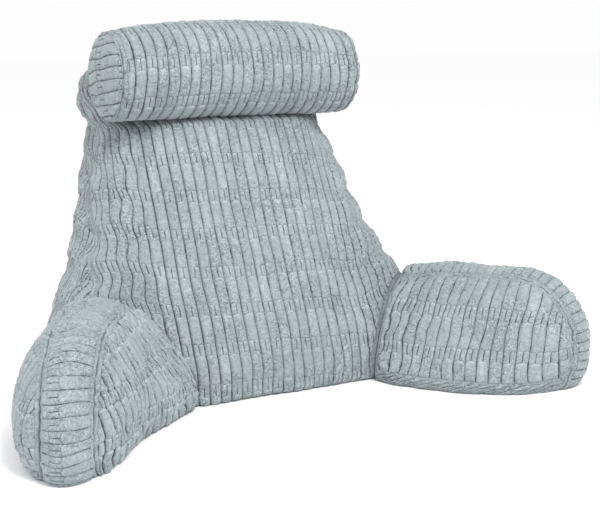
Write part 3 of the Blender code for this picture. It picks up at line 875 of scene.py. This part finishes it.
def arm_surface(node, side, at, around):
    """Points of an arm's cover.  Around runs 0-1 over the strip, 1-2 down the outer panel,
    2-3 under the foot and 3-4 up the inner panel.  Also gives reach and offset on the arm."""
    length = ARM_LENGTHS[node]
    path, arcs = arm_path(length)
    reach = np.interp(at, arcs, path[:, 0])
    drop = np.interp(at, arcs, path[:, 1]) / ARM_HEIGHT
    even = ARM_NOSE_START * ARM_EVEN_PART
    late = np.clip((at - even) / (arcs[-1] - even), 0.0, 1.0)
    floor_reach = np.minimum(at, even) + (length - ARM_FOOT_SETBACK - even) * late
    part = around % 1.0
    section = np.floor(around).astype(int)
    down = np.where(section == 3, 1 - part, part)
    fall = ease(down)
    swell = np.sin(math.pi * down ** ARM_BULGE_DROP)
    crowns = ARM_CROWN + (ARM_TOE_CROWNS[node] - ARM_CROWN) * ease(late * ARM_CROWN_RISE)
    local = np.zeros((len(at), len(around), 3))
    for k in range(len(at)):
        top = read_shape(ARM_SHAPES[node], ARM_NAMES, reach[k])
        low = read_shape(ARM_SHAPES[node], ARM_NAMES, floor_reach[k] * length / floor_reach.max())
        height = top["height"] * drop[k]
        nose = np.array([max(reach[k] - ARM_NOSE_START, 0.0), max(height - ARM_HEIGHT + ARM_NOSE_DROP, 0.0)])
        nose = nose / max(np.linalg.norm(nose), 1e-9)
        full = max(drop[k], ARM_FOOT_FULLNESS) ** ARM_FULLNESS_CURVE
        crown = crowns[k] * (1 - (2 * part - 1) ** 2)
        over = (reach[k] + crown * nose[0], top["top_in"] + (top["top_out"] - top["top_in"]) * part,
                height + crown * nose[1])
        under = (floor_reach[k] + 0 * part,
                 low["floor_out"] + (low["floor_in"] - low["floor_out"]) * part, 0 * part)
        panels = []
        for edge, way in (("out", 1), ("in", -1)):
            panels.append((reach[k] + (floor_reach[k] - reach[k]) * fall,
                           top["top_" + edge] + (low["floor_" + edge] - top["top_" + edge]) * fall
                           + way * low["bulge_" + edge] * full * swell,
                           height * (1 + np.cos(math.pi * down)) / 2))
        for i, sheets in enumerate(zip(over, panels[0], under, panels[1])):
            local[k, :, i] = np.choose(section, sheets)
    toward_toe = local[..., 0] / length
    slant = ARM_ROOT_SLANT * (1 - toward_toe) + ARM_TOE_SLANTS[node] * toward_toe ** 3
    local[..., 0] += slant * local[..., 1]
    along, outward = arm_ways(side)
    points = local.copy()
    points[..., :2] = np.array(ARM_ROOT) * (side, 1) + local[..., :1] * along + local[..., 1:2] * outward
    near = 1 - np.clip(at / ARM_ROOT_ROUND, 0.0, 1.0)
    inset = (ARM_ROOT_INSET * (1 - np.sqrt(1 - near ** 2)))[:, None, None]
    centre = points.mean(axis=1, keepdims=True) * (1, 1, 0)
    points += (centre - points) * inset
    keep_off_back(points, side)
    return points, local


def round_arm(counts):
    """Places round an arm, with so many columns over each of its four parts."""
    return np.concatenate([part + np.arange(count) / count for part, count in enumerate(counts)])


def close_ends(points, faces, rows, columns):
    """Close the first ring and the last one."""
    points = close_ring(points, faces, list(range(columns)), True)
    return close_ring(points, faces, list(range((rows - 1) * columns, rows * columns)), False)


for node, side, seed in (("arm_left", -1, 21), ("arm_right", 1, 33)):
    total = arm_path(ARM_LENGTHS[node])[1][-1]
    coarse = (np.concatenate([[0.0, 0.006], np.linspace(0.014, total, 36)]), round_arm(COARSE_ARM_COLUMNS))
    steps = round((total - ARM_ROOT_ROUND) / ARM_STEP)
    at = np.concatenate([ARM_ROOT_ROUND * np.array(ARM_ROOT_STEPS),
                         np.linspace(ARM_ROOT_ROUND, total, steps)])
    around = round_arm(ARM_COLUMNS)
    skin, local = arm_surface(node, side, at, around)
    skin += bulge(arm_surface(node, side, *coarse)[0], coarse, (at, around), 4.0, close_ends,
                  lambda points: (points[:, 2] < 0.003) | (past_sewn_face(points, side)[0] < 0.009),
                  ARM_BULGE, mirrored=side > 0)
    from_root = at[:, None]

    # The root is pinched in, its upper inner corner is drawn aside and down, and its top sags.
    inward = (skin.mean(axis=1, keepdims=True) - skin) * (1, 1, 0)
    skin += ROOT_PINCH[0] * np.exp(-from_root / ROOT_PINCH[1])[..., None] * inward
    from_corner = np.minimum(around, 4 - around) * np.where(around < 2, 0.08, 0.20)
    corner = np.exp(-from_root / ROOT_CORNER_SIZE[0]) * np.exp(-(from_corner / ROOT_CORNER_SIZE[1]) ** 2)
    skin[..., :2] += (ROOT_CORNER[0] * corner)[..., None] * arm_ways(side)[1]
    skin[..., 2] -= ROOT_CORNER[1] * corner
    high = np.clip(skin[..., 2] / ARM_HEIGHT, 0.0, 1.0)
    skin[..., 2] -= ROOT_SAG[0] * np.exp(-(from_root / ROOT_SAG[1]) ** 2) * high ** 3
    skin[..., 2] = np.maximum(skin[..., 2], 0.0)
    keep_off_back(skin, side)

    # The strip's two long seams wander; a third seam runs round just off the floor.
    girth = np.linalg.norm(np.roll(skin, -1, axis=1) - skin, axis=2)
    out_side = np.cumsum(girth, axis=1) - girth
    in_side = out_side[:, -1:] + girth[:, -1:] - out_side
    strip_width = out_side[:, ARM_COLUMNS[0]][:, None]
    on_strip = around < 1
    drawn = (0.25 + 0.75 * np.exp(-from_root / 0.12)) * wander(from_root, 0.0, SEAM_WANDER, seed + 5)
    inner_seam = np.abs(np.where(on_strip, out_side, -in_side) + drawn)
    outer_seam = np.abs(out_side - strip_width + 0.6 * drawn)
    seam = np.minimum(np.minimum(inner_seam, outer_seam), from_root + 0.0015)
    on_inner = ease((around - 3) / 0.1) * ease((4 - around) / 0.1)
    inner_gather = INNER_GATHER[node] * on_inner
    under = np.abs(skin[..., 2] - UNDER_SEAM) + 0.0035 + 0.012 * inner_gather
    seam = np.where(on_strip, seam, np.minimum(seam, under))

    # Wales run over the strip and down the panels, and slant off where the panels turn under.
    at_root = np.exp(-from_root / 0.05)
    reach, rise = local[..., 0], skin[..., 2]
    strip_wale = from_root / STRIP_PITCH + wander(out_side, from_root, STRIP_WANDER, seed)
    strip_wale += at_root * wander(out_side, from_root, STRIP_ROOT_WANDER, seed + 3)
    panel_wale = reach / WALE_PITCH + wander(reach, rise, PANEL_WANDER, seed + 1)
    panel_wale += at_root * wander(reach, rise, PANEL_ROOT_WANDER, seed + 4)
    panel_wale += inner_gather * wander(reach, rise, INNER_WANDER, seed + 2)
    panel_wale -= INNER_LEAN[node] * on_inner * ease((rise - 0.05) / 0.13)
    turned_under = np.maximum(UNDER_SEAM - rise, 0.0) / WALE_PITCH
    panel_wale += UNDER_SHEAR * turned_under * (1 - inner_gather)
    wale = np.where(on_strip, strip_wale, panel_wale)
    strip_row = (out_side - STRIP_FIRST_ROW) / ROW_PITCH
    panel_row = (rise * PANEL_ROW_STRETCH - PANEL_FIRST_ROW[node]) / ROW_PITCH
    row = np.where(on_strip, strip_row, panel_row) + wale_shifts(wale, *ARM_WALE_SHIFT, seed)
    relief = ease((from_root - 0.002) / 0.010) * np.where((around > 2) & (around < 3), 0.0, 1.0)
    root_gather = np.exp(-from_root / 0.07)
    gather = np.maximum(root_gather, inner_gather)
    bead = 0.4 * root_gather + 0.1 * gather
    make_cushion(node, skin, (wale, row, relief, seam, gather, bead), close_ends, 0.012, seed, side > 0)

# ---------------------------------------------------------------- neck roll
# A round bolster: one plush tube with its wales running round it, joined along the top, and
# a round end cap sewn in at each end.  It lies in the hollow at the top front of the back.

ROLL_HALF_LENGTH = 0.2285
ROLL_END_RADIUS = 0.0755
ROLL_SWELL = 0.010
ROLL_ARCH = 0.009
ROLL_CAP_DOME = 0.022
ROLL_BULGE = 0.006
ROLL_WALES = 23
ROLL_COLUMNS = 168
ROLL_JOIN = math.radians(86)
ROLL_ROW_TURN = math.radians(51)
ROLL_FIRST_ROW = math.radians(8.2)
ROLL_SWAY = (0.0013, 0.25, 2.2)
ROLL_WALE_SHIFT = (0.03, ROLL_WALES + 1)
CAP_RINGS = 30
CAP_HOLE = 0.985
CAP_TILT = math.radians(8)
CAP_FIRST_ROW = -0.02
CAP_WANDER = (0.1, 0.08, 0.08)
CAP_SEAM_STRETCH = 1.05
COARSE_CAP = np.array([0.97, 0.8, 0.6, 0.4, 0.2])
COARSE_TUBE_RINGS = 30
COARSE_ROLL_COLUMNS = 40


def roll_surface(along, turn):
    """Points of the roll's cover.  Along is -1 to 0 over the left cap, 0 to 1 over the tube
    and 1 to 2 over the right cap."""
    cap = np.clip(np.maximum(-along, along - 1), 0.0, 1.0)
    x = np.clip(along, 0.0, 1.0) * 2 - 1
    radius = ROLL_END_RADIUS * np.cos(cap * math.pi / 2) + ROLL_SWELL * (1 - x ** 4)
    reach = x * ROLL_HALF_LENGTH + np.where(along > 0.5, 1, -1) * ROLL_CAP_DOME * np.sin(cap * math.pi / 2)
    middle = ROLL_MIDDLE[2] + ROLL_ARCH * (1 - x ** 2)
    points = np.zeros((len(along), len(turn), 3))
    points[..., 0] = ROLL_MIDDLE[0] + reach[:, None]
    points[..., 1] = ROLL_MIDDLE[1] + radius[:, None] * np.cos(turn)
    points[..., 2] = middle[:, None] + radius[:, None] * np.sin(turn)
    return points


def roll_turns(count):
    """Places round the roll, from its join."""
    return ROLL_JOIN + np.arange(count) * 2 * math.pi / count


def roll_held(points):
    """The seams round the two ends of the tube stay where they are."""
    ring = np.arange(len(points)) // COARSE_ROLL_COLUMNS
    return (ring == len(COARSE_CAP)) | (ring == len(COARSE_CAP) + COARSE_TUBE_RINGS - 1)


coarse = (np.concatenate([-COARSE_CAP, np.linspace(0.0, 1.0, COARSE_TUBE_RINGS), 1 + COARSE_CAP[::-1]]),
          roll_turns(COARSE_ROLL_COLUMNS))
cap_along = 1 - np.arange(CAP_RINGS) / CAP_RINGS
cap_along[0] = CAP_HOLE
tube_wales = (np.arange(ROLL_WALES)[:, None] + 0.5 + np.array(WALE_SAMPLES)).reshape(-1)
along = np.concatenate([-cap_along, tube_wales / ROLL_WALES, [1.0], 1 + cap_along[::-1]])
turn = roll_turns(ROLL_COLUMNS)
skin = roll_surface(along, turn)
skin += bulge(roll_surface(*coarse), coarse, (along, turn), 2 * math.pi, close_ends, roll_held, ROLL_BULGE)
along = along[:, None]
on_tube = (along >= 0) & (along <= 1)
sway = wander(along, turn, ROLL_SWAY, 7)
skin[..., 0] += sway * (on_tube * ease(np.minimum(along, 1 - along) / 0.05))

# The tube's wales run round it; the caps' run across them.
tube_wale = along * ROLL_WALES - 0.5
tube_row = (math.pi - turn - ROLL_FIRST_ROW) / ROLL_ROW_TURN
tube_row = tube_row + wale_shifts(tube_wale, *ROLL_WALE_SHIFT, 41)
height = skin[..., 2] - ROLL_MIDDLE[2]
depth = skin[..., 1] - ROLL_MIDDLE[1]
cap_wale = (height * math.cos(CAP_TILT) + depth * math.sin(CAP_TILT)) / WALE_PITCH
cap_wale = cap_wale + wander(depth, height, CAP_WANDER, 9)
cap_row = (depth * math.cos(CAP_TILT) - height * math.sin(CAP_TILT) - CAP_FIRST_ROW) / ROW_PITCH
to_join = np.minimum(turn - ROLL_JOIN, ROLL_JOIN + 2 * math.pi - turn) * (ROLL_END_RADIUS + ROLL_SWELL)
to_end = np.where(on_tube, np.minimum(along, 1 - along) * 2 * ROLL_HALF_LENGTH,
                  np.maximum(-along, along - 1) * ROLL_END_RADIUS * CAP_SEAM_STRETCH)
gather = 0.5 * np.exp(-to_end / 0.03)
wale = np.where(on_tube, tube_wale, cap_wale)
row = np.where(on_tube, tube_row, cap_row)
seam = np.where(on_tube, np.minimum(to_end, to_join), to_end)
make_cushion("neck_roll", skin, (wale, row, 1.0, seam, gather, gather), close_ends, 0.008, 4)

# ---------------------------------------------------------------- floor, light and camera
# A plain pale studio floor that runs to white, lit by two large soft lights and an even sky.

FLOOR_SIZE = 30.0
LIGHT_AIM = (0.0, 0.05, 0.28)
# Name, place, power and width of each light.
LIGHTS = (("key", (-0.2, -2.3, 2.8), 80.0, 1.0), ("fill", (-2.8, -0.6, 1.8), 16.0, 1.8))
CAMERA_PLACE = (-1.059, -1.915, 0.651)
CAMERA_TURN = (-29.33, 10.38)
CAMERA_LENS = 78.9

floor_mesh = bpy.data.meshes.new("floor")
half = FLOOR_SIZE / 2
corners = [(-half, -half, 0), (half, -half, 0), (half, half, 0), (-half, half, 0)]
floor_mesh.from_pydata(corners, [], [(0, 1, 2, 3)])
floor = add_object("floor", floor_mesh)
paper = bpy.data.materials.new("pale_paper")
paper.use_nodes = True
look = paper.node_tree.nodes["Principled BSDF"].inputs
look["Base Color"].default_value = (0.985, 0.985, 0.985, 1.0)
look["Roughness"].default_value = 1.0
look["Specular IOR Level"].default_value = 0.0
floor_mesh.materials.append(paper)

sky = bpy.data.worlds.new("studio")
sky.use_nodes = True
look = sky.node_tree.nodes["Background"].inputs
look["Color"].default_value = (0.985, 0.985, 0.99, 1.0)
look["Strength"].default_value = 1.0
bpy.context.scene.world = sky
bpy.context.scene.view_settings.view_transform = "Standard"

for name, place, power, size in LIGHTS:
    light = bpy.data.lights.new(name, "AREA")
    light.energy = power
    light.size = size
    lamp = add_object(name, light)
    lamp.location = place
    lamp.rotation_mode = "QUATERNION"
    lamp.rotation_quaternion = (Vector(LIGHT_AIM) - lamp.location).to_track_quat("-Z", "Y")

azimuth, elevation = (math.radians(angle) for angle in CAMERA_TURN)
back = Vector((math.sin(azimuth) * math.cos(elevation), -math.cos(azimuth) * math.cos(elevation),
               math.sin(elevation)))
lens = bpy.data.cameras.new("camera")
lens.lens = CAMERA_LENS
camera = add_object("camera", lens)
camera.location = np.array(CAMERA_PLACE) - PILLOW_MIDDLE
camera.rotation_mode = "QUATERNION"
camera.rotation_quaternion = (-back).to_track_quat("-Z", "Y")
bpy.context.scene.camera = camera
